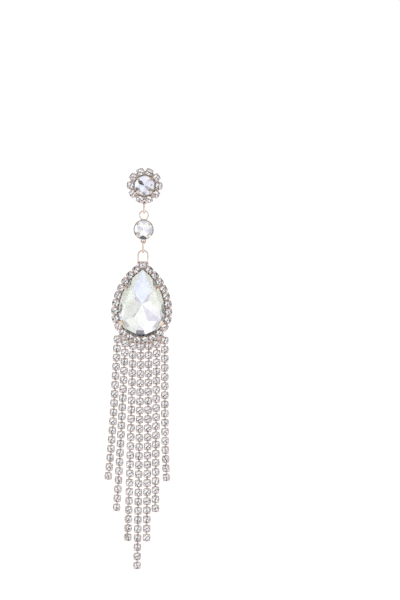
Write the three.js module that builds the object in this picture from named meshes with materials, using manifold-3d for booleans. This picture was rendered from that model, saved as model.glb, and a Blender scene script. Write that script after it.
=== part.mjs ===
// Chandelier earring: a flower stud of small stones round a brilliant, a round stone connector, and a pear drop
// with a halo of small stones and a fringe of seven cup-chain strands. Sizes are in millimetres.
// +Z is up and the stones face -Y. The origin is where the post leaves its pad, on the face that meets the ear.
import * as THREE from 'three';
import { ConvexGeometry } from 'three/addons/geometries/ConvexGeometry.js';
import { mergeVertices } from 'three/addons/utils/BufferGeometryUtils.js';
import Module from 'manifold-3d';

const wasm = await Module();
wasm.setup();

// Gaps between pieces that touch on the real earring
const gap = 0.05;

// Cut stones. A share is of the stone's diameter, the table's of its radius.
const round = { girdle: 0.04, crown: 0.16, pavilion: 0.42, table: 0.56 };
const studStoneDiameter = 5.4;
const connectorStoneDiameter = 5.2;
const pear = {
  width: 13,
  point: 12.2, // from the round end's centre to where the two side arcs would meet
  tipRadius: 0.9,
  girdle: 0.3,
  crown: 1.5,
  pavilion: 3.1,
  table: 0.5,
  culetRise: 1.2, // the culet and the table's middle lie this far above the round end's centre
};
const facetCount = 8;
const starReach = 0.78; // where the star facets' points lie, as a share of the stone's radius
const lowerReach = 0.3; // where the lower girdle facets' points lie

// A small cup with its stone, as on cup chain
const cup = { radius: 1.04, backRadius: 0.92, height: 1.25, crown: 0.45, tableRadius: 0.58 };
const cupSides = 10; // its stone's table has half as many

// Ear post
const post = { radius: 0.4, length: 11, taper: 0.6, tipRadius: 0.25 };
const pad = { radius: 2.2, thickness: 0.5 };

// Wire rings. A facing ring lies in the plane of the stones, a link stands edge-on to the viewer.
const link = { length: 3.6, width: 2.0, wire: 0.27 };
const ring = { radius: 1.25, wire: 0.21 };
const eye = { radius: 0.62, wire: 0.2 };
const bail = { halfWidth: 1.36, wire: 0.21, rise: 4.27 };
const ringBite = 0.3; // how deep a soldered ring or link bar runs into its neighbour
const eyeDrop = 0.95; // from the edge of a setting to the middle of the eye's lowest wire

// Claws that hold the main stones
const claw = { thickness: 0.34, reach: 0.8, width: 0.75 };
const pearClaw = { thickness: 0.36, reach: 1.25, width: 1.3, upperAngle: 30, lowerAngle: -27 };
const clawAngles = [45, 135, 225, 315];

// Stud
const studPlateThickness = 0.5;
const petalInset = 0.24; // from the centre stone's edge to the petals
const petalSpacing = 0.3; // least space between two petals
const petalPlateOverlap = 0.3; // how far the plate runs past the middle of the petals

// Connector cup
const connectorWall = 0.25;
const connectorBackInset = 0.6;
const connectorBackHeight = 1.0;
const connectorFloor = 0.35;
const connectorHangDepth = 1.69; // from the cup's back to the plane of its rings, where it hangs level

// Drop
const dropPlateThickness = 0.4;
const dropHangDepth = 1.82; // from the plate's back to the bail's plane, where the drop hangs level
const pearGirdleDepth = 3.3; // from the plate's back to the pear's girdle
const haloInset = 0.03;
const haloSpacing = 0.14;
const plateMargin = 0.5; // how far the plate runs past the middle of the cups it carries
const plateWindowInset = 3.2;
const seat = { thickness: 0.45, inset: 2.0, height: 1.9 };
const bailTab = { rise: 1.2, drop: 1.0 };

// Fringe. A strand's lean and curl are shares of its length, sideways at its last cup; its twist is in degrees.
const strands = [
  { cups: 16, lean: -0.026, curl: -0.014, twist: -8 },
  { cups: 19, lean: -0.021, curl: -0.006, twist: -6 },
  { cups: 22, lean: -0.004, curl: -0.004, twist: 20 },
  { cups: 25, lean: 0.007, curl: 0, twist: -5 },
  { cups: 22, lean: 0.011, curl: 0, twist: 4 },
  { cups: 19, lean: 0.014, curl: 0, twist: 6 },
  { cups: 16, lean: 0.026, curl: 0.014, twist: -12 },
];
const strandSpacing = 0.15; // between neighbouring strands at their first cups
const row = { radius: 12.7, step: 1.93 }; // the first cups' arc, and its distance below the halo's cups
const cupPitch = 2 * cup.radius + 0.5;
const linkBar = { width: 0.5, thickness: 0.3, depth: 0.12 };

// How finely curves are cut
const wireSides = 6;
const bailSteps = 20;
const ringSides = 12;
const turnedSides = 16;
const arcDivisions = 6;
const clawTipLift = 0.8;

const { degToRad: degrees, radToDeg: inDegrees } = THREE.MathUtils;

// Materials
const gold = new THREE.MeshStandardMaterial({ color: 0xe3c09a, metalness: 1, roughness: 0.22 });
const crystal = new THREE.MeshStandardMaterial({ color: 0xf1f3f6, metalness: 0.1, roughness: 0.05 });
const smallCrystal = new THREE.MeshStandardMaterial({ color: 0xd9d4d3, metalness: 0.4, roughness: 0.12 });

// A closed geometry as a solid that can be joined and cut
function solid(geometry) {
  const bare = geometry.clone();
  bare.deleteAttribute('normal');
  bare.deleteAttribute('uv');
  const merged = mergeVertices(bare, 1e-4);
  return new wasm.Manifold(
    new wasm.Mesh({
      numProp: 3,
      vertProperties: merged.attributes.position.array,
      triVerts: new Uint32Array(merged.index.array),
    }),
  );
}

function join(solids) {
  return solids.reduce((whole, piece) => whole.add(piece));
}

// Shapes are drawn with x to the right, y up and their height towards the viewer, and turned upright here.
function mesh(name, piece, material) {
  const made = piece.getMesh();
  const geometry = new THREE.BufferGeometry();
  geometry.setAttribute('position', new THREE.BufferAttribute(made.vertProperties, 3));
  geometry.setIndex(new THREE.BufferAttribute(made.triVerts, 1));
  geometry.rotateX(Math.PI / 2);
  const part = new THREE.Mesh(geometry.toNonIndexed(), material);
  part.geometry.computeVertexNormals();
  part.name = name;
  return part;
}

function group(y, z, ...children) {
  const made = new THREE.Group();
  made.position.set(0, y, z);
  made.add(...children);
  return made;
}

// A turned solid whose axis points at the viewer. The profile lists radius and height.
function turned(profile) {
  const points = profile.map(([radius, height]) => new THREE.Vector2(radius, height));
  return new THREE.LatheGeometry(points, turnedSides, Math.PI / turnedSides).rotateX(Math.PI / 2);
}

function plate(shape, thickness, height = 0) {
  const settings = { depth: thickness, bevelEnabled: false, curveSegments: ringSides };
  return solid(new THREE.ExtrudeGeometry(shape, settings).translate(0, 0, height));
}

function facingRing(radius, wire, y, height) {
  return solid(new THREE.TorusGeometry(radius, wire, wireSides, ringSides).translate(0, y, height));
}

// An oval link, edge-on to the viewer. Its middle is the origin.
function ovalLink() {
  const radius = link.width / 2 - link.wire;
  const straight = link.length / 2 - link.wire - radius;
  const torus = new THREE.TorusGeometry(radius, link.wire, wireSides, ringSides);
  torus.rotateZ(Math.PI / ringSides);
  const place = torus.attributes.position;
  for (let i = 0; i < place.count; i += 1) {
    place.setY(i, place.getY(i) + Math.sign(place.getY(i)) * straight);
  }
  return solid(torus.rotateY(Math.PI / 2));
}

// Outlines. Each gives, for the direction an edge faces, the arc that the edge belongs to.
function circleOutline(radius) {
  return () => ({ x: 0, y: 0, radius });
}

const pearRound = pear.width / 2;
const pearSideCentre = (pear.point ** 2 - pearRound ** 2) / pear.width;
const pearSide = pearSideCentre + pearRound;
const pearTipCentre = Math.sqrt((pearSide - pear.tipRadius) ** 2 - pearSideCentre ** 2);
const pearTipAngle = Math.atan2(pearTipCentre, pearSideCentre);

function pearOutline(angle) {
  const upper = Math.sin(angle) > 0;
  const side = Math.min(Math.abs(angle), Math.PI - Math.abs(angle));
  if (!upper) return { x: 0, y: 0, radius: pearRound };
  if (side > pearTipAngle) return { x: 0, y: pearTipCentre, radius: pear.tipRadius };
  return { x: -Math.sign(Math.cos(angle)) * pearSideCentre, y: 0, radius: pearSide };
}

// The outline's point that faces an angle, moved outwards by offset
function edgePoint(outline, angle, offset = 0) {
  const facing = THREE.MathUtils.euclideanModulo(angle + Math.PI, 2 * Math.PI) - Math.PI;
  const arc = outline(facing);
  const reach = arc.radius + offset;
  return new THREE.Vector2(arc.x + reach * Math.cos(facing), arc.y + reach * Math.sin(facing));
}

function outlineShape(outline, offset, count) {
  const points = [];
  for (let i = 0; i < count; i += 1) points.push(edgePoint(outline, ((i + 0.5) / count) * 2 * Math.PI, offset));
  return new THREE.Shape(points);
}

// The pear's outline with a sharp tip, moved outwards by offset, from its tip clockwise
function pearPath(offset) {
  const side = pearSide + offset;
  const tipAngle = Math.acos(pearSideCentre / side);
  const path = new THREE.Path();
  path.absarc(-pearSideCentre, 0, side, tipAngle, 0, true);
  path.absarc(0, 0, pearRound + offset, 0, -Math.PI, true);
  path.absarc(pearSideCentre, 0, side, Math.PI, Math.PI - tipAngle, true);
  return path;
}

// The points of a closed path, each once
function pathPoints(path) {
  const points = path.getPoints(arcDivisions);
  return points.filter((point, i) => point.distanceTo(points[(i + 1) % points.length]) > 1e-6);
}

// A band that follows the pear, between two offsets from its outline
function pearBand(outer, inner) {
  const shape = new THREE.Shape(pathPoints(pearPath(outer)));
  shape.holes.push(new THREE.Path(pathPoints(pearPath(inner)).reverse()));
  return shape;
}

// A brilliant cut: a block with the stone's outline, cut by the plane of each facet.
// Heights run from the girdle's lower edge, and grow is the clearance when a setting is cut to the stone.
function brilliant(outline, size, grow = 0) {
  const top = size.girdle + size.crown + grow;
  const bottom = -size.pavilion - grow;
  const girdleTop = size.girdle + grow;
  const half = Math.PI / facetCount;
  const tableCorner = size.table;
  const mainSlope = size.crown / (1 - tableCorner);
  const starPoint = girdleTop + mainSlope * (1 - starReach * Math.cos(half));
  const lowerPoint = bottom * (1 - lowerReach * Math.cos(half));
  const tiers = [
    { count: facetCount, phase: 0, from: [1, girdleTop], to: [tableCorner, top] },
    { count: facetCount, phase: half, from: [starReach, starPoint], to: [tableCorner * Math.cos(half), top] },
    { count: 2 * facetCount, phase: half / 2, from: [1, girdleTop], to: [starReach * Math.cos(half / 2), starPoint] },
    { count: facetCount, phase: 0, from: [1, -grow], to: [0, bottom] },
    { count: 2 * facetCount, phase: half / 2, from: [1, -grow], to: [lowerReach * Math.cos(half / 2), lowerPoint] },
  ];
  let stone = plate(outlineShape(outline, grow, 2 * facetCount), top - bottom, bottom);
  for (const { count, phase, from, to } of tiers) {
    for (let i = 0; i < count; i += 1) {
      const angle = Math.PI / 2 + phase + (i * 2 * Math.PI) / count;
      const facing = new THREE.Vector2(Math.cos(angle), Math.sin(angle));
      const middle = facing.y * (size.culetRise ?? 0);
      const span = edgePoint(outline, angle, grow).dot(facing) - middle;
      const run = (to[0] - from[0]) * span;
      const rise = to[1] - from[1];
      const tilt = Math.sign(rise) * Math.atan2(-run, Math.abs(rise));
      const out = new THREE.Vector3(facing.x * Math.cos(tilt), facing.y * Math.cos(tilt), Math.sin(tilt));
      const distance = (middle + from[0] * span) * Math.cos(tilt) + from[1] * Math.sin(tilt);
      stone = stone.trimByPlane([-out.x, -out.y, -out.z], -distance);
    }
  }
  return stone;
}

function roundSize(diameter) {
  return {
    girdle: round.girdle * diameter,
    crown: round.crown * diameter,
    pavilion: round.pavilion * diameter,
    table: round.table,
  };
}

// A claw that rises from footHeight beside the stone and bends over its crown. It is drawn as offset from the
// stone's edge and height above the girdle's lower edge, and the stone's own shape is cut from it afterwards.
function clawSolid(outline, angle, size, form, footHeight, footInset) {
  const { thickness, reach, width } = form;
  const crownRise = (size.crown / (1 - size.table)) / edgePoint(outline, angle).length();
  const tipHeight = size.girdle + reach * crownRise + thickness * clawTipLift;
  const shape = new THREE.Shape([
    new THREE.Vector2(-footInset - thickness, footHeight),
    new THREE.Vector2(-footInset, footHeight),
    new THREE.Vector2(gap + thickness, -thickness / 2),
    new THREE.Vector2(gap + thickness, size.girdle + thickness / 2),
    new THREE.Vector2(gap, size.girdle + thickness),
    new THREE.Vector2(-reach, tipHeight),
    new THREE.Vector2(-reach, size.girdle),
    new THREE.Vector2(-thickness / 2, -thickness / 2),
  ]);
  const blade = new THREE.ExtrudeGeometry(shape, { depth: width, bevelEnabled: false });
  blade.rotateX(Math.PI / 2).translate(0, width / 2, 0).rotateZ(angle);
  const foot = edgePoint(outline, angle);
  return solid(blade.translate(foot.x, foot.y, 0));
}

// Corners evenly spaced on a circle, two of them either side of straight up when their number is even
function corners(radius, count, height, phase) {
  return Array.from({ length: count }, (_, i) => {
    const angle = phase + (i * 2 * Math.PI) / count;
    return new THREE.Vector3(radius * Math.cos(angle), radius * Math.sin(angle), height);
  });
}

// A small cup with its stone, from its back to the stone's table
function smallCup() {
  return new ConvexGeometry([
    ...corners(cup.backRadius, cupSides, 0, 0),
    ...corners(cup.radius, cupSides, cup.height, 0),
    ...corners(cup.tableRadius, cupSides / 2, cup.height + cup.crown, 0),
  ]);
}

// Cups joined by flat bars near their backs. A place holds where a cup is, how far it leans and how far it twists
// about the bars.
function cupRow(places, back, closed) {
  const barHeight = linkBar.depth + linkBar.thickness / 2;
  const centredCup = solid(smallCup().translate(0, 0, -barHeight));
  const put = (piece, { x, y, tilt, twist }) => piece.rotate([0, twist, tilt]).translate([x, y, back + barHeight]);
  const pieces = places.map((place) => put(centredCup, place));
  places.forEach((place, i) => {
    if (i === 0 && !closed) return;
    const before = places.at(i - 1);
    const along = new THREE.Vector2(before.x - place.x, before.y - place.y);
    const length = along.length() - 2 * cup.backRadius + ringBite;
    pieces.push(put(solid(new THREE.BoxGeometry(linkBar.width, length, linkBar.thickness)), {
      x: (place.x + before.x) / 2,
      y: (place.y + before.y) / 2,
      tilt: inDegrees(along.angle()) - 90,
      twist: (place.twist + before.twist) / 2,
    }));
  });
  return join(pieces);
}

// Ear post: a pin on a round pad, its tip tapered
function earPost() {
  const end = pad.thickness + post.length;
  return solid(
    turned([
      [0, 0], [pad.radius, 0], [pad.radius, pad.thickness], [post.radius, pad.thickness],
      [post.radius, end - post.taper], [post.tipRadius, end], [0, end],
    ]).rotateX(Math.PI),
  );
}

// Stud: heights run from the lobe face towards the viewer
const studStoneSize = roundSize(studStoneDiameter);
const studOutline = circleOutline(studStoneDiameter / 2);
const studPlateBack = pad.thickness + gap;
const studPlateFront = studPlateBack + studPlateThickness;
const studGirdle = studPlateFront + gap + studStoneSize.pavilion + gap;
const petalRingRadius = studStoneDiameter / 2 + petalInset + cup.radius;
const studPlateRadius = petalRingRadius + petalPlateOverlap;
const studEyeCentre = -(studPlateRadius + eyeDrop - eye.radius - petalPlateOverlap / 2);
const hangPlane = (studPlateBack + studPlateFront) / 2;

function studSetting() {
  const disc = solid(turned([
    [0, studPlateBack], [studPlateRadius, studPlateBack], [studPlateRadius, studPlateFront], [0, studPlateFront],
  ]));
  const seatRadius = studStoneDiameter / 4;
  const seatRing = solid(turned([
    [seatRadius, studPlateBack + gap],
    [seatRadius + connectorWall, studPlateBack + gap],
    [seatRadius + connectorWall, studGirdle - studStoneSize.pavilion / 4],
    [seatRadius, studGirdle - studStoneSize.pavilion / 4],
    [seatRadius, studPlateBack + gap],
  ]));
  const footHeight = studPlateFront - gap - studGirdle;
  const claws = clawAngles.map((angle) =>
    clawSolid(studOutline, degrees(angle), studStoneSize, claw, footHeight, studStoneDiameter / 8),
  );
  const upper = join([seatRing, ...claws.map((piece) => lift(piece, studGirdle))]);
  const cavity = lift(brilliant(studOutline, studStoneSize, gap), studGirdle);
  const hole = turned([
    [0, 0], [eye.radius - eye.wire, 0], [eye.radius - eye.wire, studPlateFront + gap], [0, studPlateFront + gap],
  ]);
  return join([disc, facingRing(eye.radius, eye.wire, studEyeCentre, hangPlane), upper.subtract(cavity)])
    .subtract(solid(hole.translate(0, studEyeCentre, 0)));
}

function lift(piece, height) {
  return piece.translate([0, 0, height]);
}

// Ring of petals: cups evenly spaced so that a gap between two of them falls at the bottom
function petalRing() {
  const count = Math.floor((2 * Math.PI * petalRingRadius) / (2 * cup.radius + petalSpacing));
  const phase = Math.PI / count - Math.PI / 2;
  const places = corners(petalRingRadius, count, 0, phase).map(({ x, y }, i) => ({
    x,
    y,
    tilt: inDegrees(phase) + (i * 360) / count,
    twist: 0,
  }));
  return cupRow(places, studPlateFront + gap, true);
}

// Connector: a turned cup with a claw at each corner, a ring on top and an eye below
const connectorSize = roundSize(connectorStoneDiameter);
const connectorOutline = circleOutline(connectorStoneDiameter / 2);
const connectorGirdle = connectorFloor + connectorSize.pavilion;
const connectorRadius = connectorStoneDiameter / 2 + gap + connectorWall;
const connectorRingCentre = connectorRadius - ringBite + ring.radius + ring.wire;
const connectorEyeCentre = -(connectorRadius + eyeDrop - eye.radius);

function connectorSetting() {
  const rim = connectorGirdle - gap;
  const body = solid(turned([
    [0, 0], [connectorRadius - connectorBackInset, 0], [connectorRadius, connectorBackHeight],
    [connectorRadius, rim], [0, rim],
  ]));
  const footHeight = -connectorSize.pavilion / 2;
  const claws = clawAngles.map((angle) =>
    clawSolid(connectorOutline, degrees(angle), connectorSize, claw, footHeight, 0),
  );
  const cavity = brilliant(connectorOutline, connectorSize, gap);
  return join([body, ...claws.map((piece) => lift(piece, connectorGirdle))])
    .subtract(lift(cavity, connectorGirdle))
    .add(facingRing(ring.radius, ring.wire, connectorRingCentre, connectorHangDepth))
    .add(facingRing(eye.radius, eye.wire, connectorEyeCentre, connectorHangDepth));
}

// Drop: y runs from the centre of the pear's round end, heights from the plate's back
const haloOffset = cup.radius + haloInset;
const haloTop = Math.sqrt((pearSide + haloOffset) ** 2 - pearSideCentre ** 2);
const cupBack = dropPlateThickness + gap;
const rowCentre = row.radius - pearRound - haloOffset - row.step;
const strandPitch = 2 * cup.radius + strandSpacing;
const bailTop = haloTop + bail.rise;

// Halo: cups evenly spaced round the pear, the first over its tip, each turned along the row
function halo() {
  const path = pearPath(haloOffset);
  const count = Math.floor(path.getLength() / (2 * cup.radius + haloSpacing));
  const points = path.getSpacedPoints(count).slice(0, count);
  const places = points.map(({ x, y }, i) => {
    const before = points.at(i - 1);
    const after = points[(i + 1) % count];
    return { x, y, tilt: inDegrees(Math.atan2(before.y - after.y, before.x - after.x)) - 90, twist: 0 };
  });
  return cupRow(places, cupBack, true);
}

// The crescent of the plate that carries the strands' first cups
function fringeShape() {
  const outermost = ((strands.length - 1) / 2) * strandPitch;
  const reach = Math.asin(outermost / row.radius) + plateMargin / row.radius;
  const inset = Math.asin((outermost - cup.radius) / (pearRound + haloOffset));
  const path = new THREE.Path();
  path.absarc(0, rowCentre, row.radius + plateMargin, -Math.PI / 2 - reach, -Math.PI / 2 + reach, false);
  path.absarc(0, 0, pearRound + haloOffset, -Math.PI / 2 + inset, -Math.PI / 2 - inset, true);
  return new THREE.Shape(pathPoints(path));
}

// The bail: a wire arch whose feet bend back to the plate's tab
function bailWire() {
  const { halfWidth, wire } = bail;
  const shoulder = bailTop - halfWidth;
  const foot = haloTop + bailTab.rise - 2 * wire;
  const corner = halfWidth * Math.SQRT1_2;
  const right = [
    [corner, shoulder + corner, dropHangDepth],
    [halfWidth, shoulder, dropHangDepth],
    [halfWidth, foot + 2 * wire, dropHangDepth],
    [halfWidth, foot, dropPlateThickness + wire],
    [halfWidth, foot, wire],
  ];
  const left = right.map(([x, y, height]) => [-x, y, height]).reverse();
  const points = [...left, [0, bailTop, dropHangDepth], ...right].map((p) => new THREE.Vector3(...p));
  const section = Array.from({ length: wireSides }, (_, i) => {
    const angle = (i * 2 * Math.PI) / wireSides;
    return new THREE.Vector2(wire * Math.cos(angle), wire * Math.sin(angle));
  });
  const extrudePath = new THREE.CatmullRomCurve3(points);
  return solid(new THREE.ExtrudeGeometry(new THREE.Shape(section), { steps: bailSteps, extrudePath }));
}

function pearSetting() {
  const tabHeight = bailTab.rise + bailTab.drop;
  const tab = new THREE.BoxGeometry(2 * (bail.halfWidth + bail.wire), tabHeight, dropPlateThickness);
  tab.translate(0, haloTop + bailTab.rise - tabHeight / 2, dropPlateThickness / 2);
  const back = join([
    plate(pearBand(haloOffset + plateMargin, -plateWindowInset), dropPlateThickness),
    plate(fringeShape(), dropPlateThickness),
    solid(tab),
  ]);
  const seatShape = pearBand(-seat.inset, -seat.inset - seat.thickness);
  const footHeight = dropPlateThickness - gap - pearGirdleDepth;
  const clawDirections = [pearClaw.upperAngle, 180 - pearClaw.upperAngle, pearClaw.lowerAngle, 180 - pearClaw.lowerAngle];
  const claws = clawDirections.map((angle) =>
    lift(clawSolid(pearOutline, degrees(angle), pear, pearClaw, footHeight, -footHeight / 3), pearGirdleDepth),
  );
  const upper = join([plate(seatShape, seat.height, dropPlateThickness - gap), ...claws]);
  return join([back, upper.subtract(lift(brilliant(pearOutline, pear, gap), pearGirdleDepth)), bailWire()]);
}

// The cups of one strand, from the top: where each is, how far it leans and how far it is twisted
function strandPlaces(index) {
  const { cups, lean, curl, twist } = strands[index];
  const x = (index - (strands.length - 1) / 2) * strandPitch;
  const y = rowCentre - Math.sqrt(row.radius ** 2 - x ** 2);
  const length = (cups - 1) * cupPitch;
  return Array.from({ length: cups }, (_, i) => {
    const share = i / (cups - 1);
    return {
      x: x + length * (lean * share + curl * share ** 4),
      y: y - length * share,
      tilt: inDegrees(Math.atan(lean + 4 * curl * share ** 3)),
      twist: twist * share ** 2,
    };
  });
}


// Each hanging piece takes its height from the one above: ring over link, link over eye
const studEyeWire = studEyeCentre - eye.radius;
const linkHang = eye.wire + gap + link.wire;
const linkSpan = link.length / 2 - link.wire;
const upperLinkZ = studEyeWire + linkHang - linkSpan;
const ringHang = ring.wire + gap + link.wire;
const connectorZ = upperLinkZ - linkSpan + ringHang - ring.radius - connectorRingCentre;
const lowerLinkZ = connectorZ + connectorEyeCentre - eye.radius + linkHang - linkSpan;
const bailHang = bail.wire + gap + link.wire;
const dropZ = lowerLinkZ - linkSpan + bailHang - bailTop;

const earring = new THREE.Group();
earring.name = 'chandelier_earring';
earring.add(
  group(0, 0,
    mesh('ear_post', earPost().translate([0, 0, pad.thickness]), gold),
    mesh('stud_setting', studSetting(), gold),
    mesh('stud_stone', lift(brilliant(studOutline, studStoneSize), studGirdle), crystal),
    mesh('petal_ring', petalRing(), smallCrystal),
  ),
  group(-hangPlane, upperLinkZ, mesh('upper_link', ovalLink(), gold)),
  group(connectorHangDepth - hangPlane, connectorZ,
    mesh('connector_setting', connectorSetting(), gold),
    mesh('connector_stone', lift(brilliant(connectorOutline, connectorSize), connectorGirdle), crystal),
  ),
  group(-hangPlane, lowerLinkZ, mesh('lower_link', ovalLink(), gold)),
  group(dropHangDepth - hangPlane, dropZ,
    mesh('pear_setting', pearSetting(), gold),
    mesh('pear_stone', lift(brilliant(pearOutline, pear), pearGirdleDepth), crystal),
    mesh('halo', halo(), smallCrystal),
    ...strands.map((_, i) => mesh(`strand_${i + 1}`, cupRow(strandPlaces(i), cupBack, false), smallCrystal)),
  ),
);

export default earring;
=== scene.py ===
import math
import random

import bmesh
import bpy
from mathutils import Matrix, Vector


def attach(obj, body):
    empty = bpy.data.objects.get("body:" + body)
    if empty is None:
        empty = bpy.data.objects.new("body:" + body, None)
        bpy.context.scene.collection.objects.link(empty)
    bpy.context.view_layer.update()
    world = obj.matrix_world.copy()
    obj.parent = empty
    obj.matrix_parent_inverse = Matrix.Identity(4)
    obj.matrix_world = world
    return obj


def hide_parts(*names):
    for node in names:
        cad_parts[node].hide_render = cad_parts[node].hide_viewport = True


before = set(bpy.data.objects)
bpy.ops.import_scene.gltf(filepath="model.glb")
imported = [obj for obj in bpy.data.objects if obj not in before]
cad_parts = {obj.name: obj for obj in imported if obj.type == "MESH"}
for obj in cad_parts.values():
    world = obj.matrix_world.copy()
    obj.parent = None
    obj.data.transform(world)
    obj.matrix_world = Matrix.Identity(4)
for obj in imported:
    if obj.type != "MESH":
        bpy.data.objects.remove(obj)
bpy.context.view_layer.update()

mm = 0.001
weldReach = 1e-7  # metres within which doubled vertices are merged
cutReach = 1e-8  # metres within which a cut keeps to a vertex
sharpAngle = 50  # degrees above which an edge is bevelled
backLean = -0.1  # a face is at a stone's back when its normal's z is below this
wireSides = 14
ringSteps = 40
squareAzimuths = (45, 135, 225, 315)


# the forms below are in millimetres, and the operators take metres
def metres(values):
    return [value * mm for value in values]


# a point round the middle, at an azimuth in degrees
def around(azimuth, reach=1):
    return reach * math.cos(math.radians(azimuth)), reach * math.sin(math.radians(azimuth))


def selectOnly(*pieces):
    if bpy.context.object and bpy.context.object.mode != "OBJECT":
        bpy.ops.object.mode_set(mode="OBJECT")
    bpy.ops.object.select_all(action="DESELECT")
    for piece in pieces:
        piece.select_set(True)
    bpy.context.view_layer.objects.active = pieces[0]


def startEditing(piece, kind="FACE", action="SELECT"):
    selectOnly(piece)
    bpy.ops.object.mode_set(mode="EDIT")
    bpy.ops.mesh.select_mode(type=kind)
    bpy.ops.mesh.select_all(action=action)


# leaves selected the faces, edges or verts that pass a test
def pick(piece, kind, wanted):
    cage = bmesh.from_edit_mesh(piece.data)
    for part in getattr(cage, kind):
        part.select_set(wanted(part))
    bmesh.update_edit_mesh(piece.data)


def extrude(step):
    bpy.ops.mesh.extrude_region_move(TRANSFORM_OT_translate={"value": metres(step)})


def widen(share, height=0):
    bpy.ops.transform.resize(value=(share, share, 1), center_override=(0, 0, height * mm))


def finishEditing(piece):
    bpy.ops.mesh.select_all(action="SELECT")
    bpy.ops.mesh.remove_doubles(threshold=weldReach)
    bpy.ops.mesh.normals_make_consistent(inside=False)
    bpy.ops.object.mode_set(mode="OBJECT")
    return piece


def applyPlace(piece):
    selectOnly(piece)
    bpy.ops.object.transform_apply(location=True, rotation=True, scale=True)
    return piece


def newest(name):
    piece = bpy.context.object
    piece.name = name
    piece.data.name = name
    return applyPlace(piece)


# pieces are drawn with x right, y up and z towards the viewer, in millimetres, and then stood upright
upright = Matrix.Rotation(math.pi / 2, 4, "X")


def stood(place, matrix=Matrix()):
    return Matrix.Translation((0, place["depth"] * mm, place["height"] * mm)) @ upright @ matrix


def movedBy(piece, matrix):
    piece.matrix_world = matrix
    return applyPlace(piece)


def joined(name, pieces):
    selectOnly(*pieces)
    if len(pieces) > 1:
        bpy.ops.object.join()
    return newest(name)


def copiesAt(name, source, places):
    copies = []
    for place in places:
        copy = source.copy()
        copy.data = source.data.copy()
        bpy.context.collection.objects.link(copy)
        copies.append(movedBy(copy, place))
    return joined(name, copies)


def discard(piece):
    bpy.data.objects.remove(piece, do_unlink=True)


def finishWith(piece, kind, **settings):
    selectOnly(piece)
    bpy.ops.object.modifier_add(type=kind)
    modifier = piece.modifiers[-1]
    for key, value in settings.items():
        setattr(modifier, key, value)
    bpy.ops.object.modifier_apply(modifier=modifier.name)
    return piece


def bevelEdges(piece, width, segments=2):
    return finishWith(piece, "BEVEL", width=width * mm, segments=segments, limit_method="ANGLE",
                      angle_limit=math.radians(sharpAngle))


# cuts another piece off this one or unites the two, and takes the other away
def combine(piece, other, operation):
    finishWith(piece, "BOOLEAN", object=other, operation=operation, solver="EXACT")
    discard(other)


# extrudes what is selected and widens it through each radius and height of a profile
def growProfile(profile):
    radius, height = profile[0]
    for nextRadius, nextHeight in profile[1:]:
        extrude((0, 0, nextHeight - height))
        widen(nextRadius / radius, nextHeight)
        radius, height = nextRadius, nextHeight


def turnedPiece(name, profile, sides):
    radius, height = profile[0]
    bpy.ops.mesh.primitive_circle_add(vertices=sides, radius=radius * mm, fill_type="NGON",
                                      location=(0, 0, height * mm), rotation=(0, 0, math.pi / sides))
    piece = newest(name)
    startEditing(piece)
    growProfile(profile)
    return finishEditing(piece)


def cylinderPiece(name, radius, base, top, sides):
    bpy.ops.mesh.primitive_cylinder_add(vertices=sides, radius=radius * mm, depth=(top - base) * mm,
                                        location=(0, 0, (top + base) / 2 * mm))
    return newest(name)


# the spin operator counts its angle the other way round
def spinRound(centre, axis, degrees, steps):
    bpy.ops.mesh.spin(steps=steps, angle=-math.radians(degrees), center=metres(centre), axis=axis)


# a tube or strip grows from its first face, leg by leg, and each leg is ("go", step) or
# ("turn", centre, axis, degrees, steps)
def growLegs(piece, legs):
    startEditing(piece)
    for kind, *values in legs:
        if kind == "go":
            extrude(*values)
        else:
            spinRound(*values)
    return finishEditing(piece)


def wirePiece(name, start, radius, legs):
    bpy.ops.mesh.primitive_circle_add(vertices=wireSides, radius=radius * mm, fill_type="NGON",
                                      location=metres(start))
    return growLegs(newest(name), legs)


# one vertex that arcs are spun from
def startPoint(name, x, y):
    bpy.ops.mesh.primitive_plane_add(size=mm, location=(x * mm, y * mm, 0))
    piece = newest(name)
    startEditing(piece, "VERT")
    bpy.ops.mesh.merge(type="CENTER")
    return piece


def spinArc(x, y, degrees, steps):
    spinRound((x, y, 0), (0, 0, 1), degrees, steps)


# a sheet between two edge loops, or inside one, cut out of metal of some thickness
def cutSheet(name, loops, thickness, base=0):
    sheet = joined(name, loops)
    startEditing(sheet, "EDGE")
    if len(loops) == 2:
        bpy.ops.mesh.bridge_edge_loops()
    else:
        bpy.ops.mesh.edge_face_add()
    bpy.ops.mesh.select_all(action="SELECT")
    extrude((0, 0, thickness))
    bpy.ops.mesh.select_all(action="SELECT")
    bpy.ops.transform.translate(value=(0, 0, base * mm))
    return finishEditing(sheet)


def torusPiece(name, radius, wire, location=(0, 0, 0), rotation=(0, 0, 0)):
    bpy.ops.mesh.primitive_torus_add(major_radius=radius * mm, minor_radius=wire * mm,
                                     major_segments=ringSteps, minor_segments=wireSides,
                                     location=metres(location), rotation=rotation)
    return newest(name)


# an sRGB hex value as linear channels
def colour(hexValue):
    channels = [int(hexValue[i:i + 2], 16) / 255 for i in (0, 2, 4)]
    return [c / 12.92 if c <= 0.04045 else ((c + 0.055) / 1.055) ** 2.4 for c in channels] + [1]


def addNode(tree, kind, settings=(), links=()):
    node = tree.nodes.new(kind)
    for key, value in dict(settings).items():
        if isinstance(key, int) or key in node.inputs:
            node.inputs[key].default_value = value
        else:
            setattr(node, key, value)
    for key, source in dict(links).items():
        tree.links.new(source, node.inputs[key])
    return node


# sockets of the Mix node when it mixes colours
mixShare, mixFrom, mixTo = 0, 6, 7
mixResult = 2


def newMaterial(name):
    material = bpy.data.materials.new(name)
    material.use_nodes = True
    material.node_tree.nodes.clear()
    return material, material.node_tree


def finishMaterial(tree, shader):
    output = tree.nodes.new("ShaderNodeOutputMaterial")
    tree.links.new(shader.outputs[0], output.inputs["Surface"])


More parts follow.
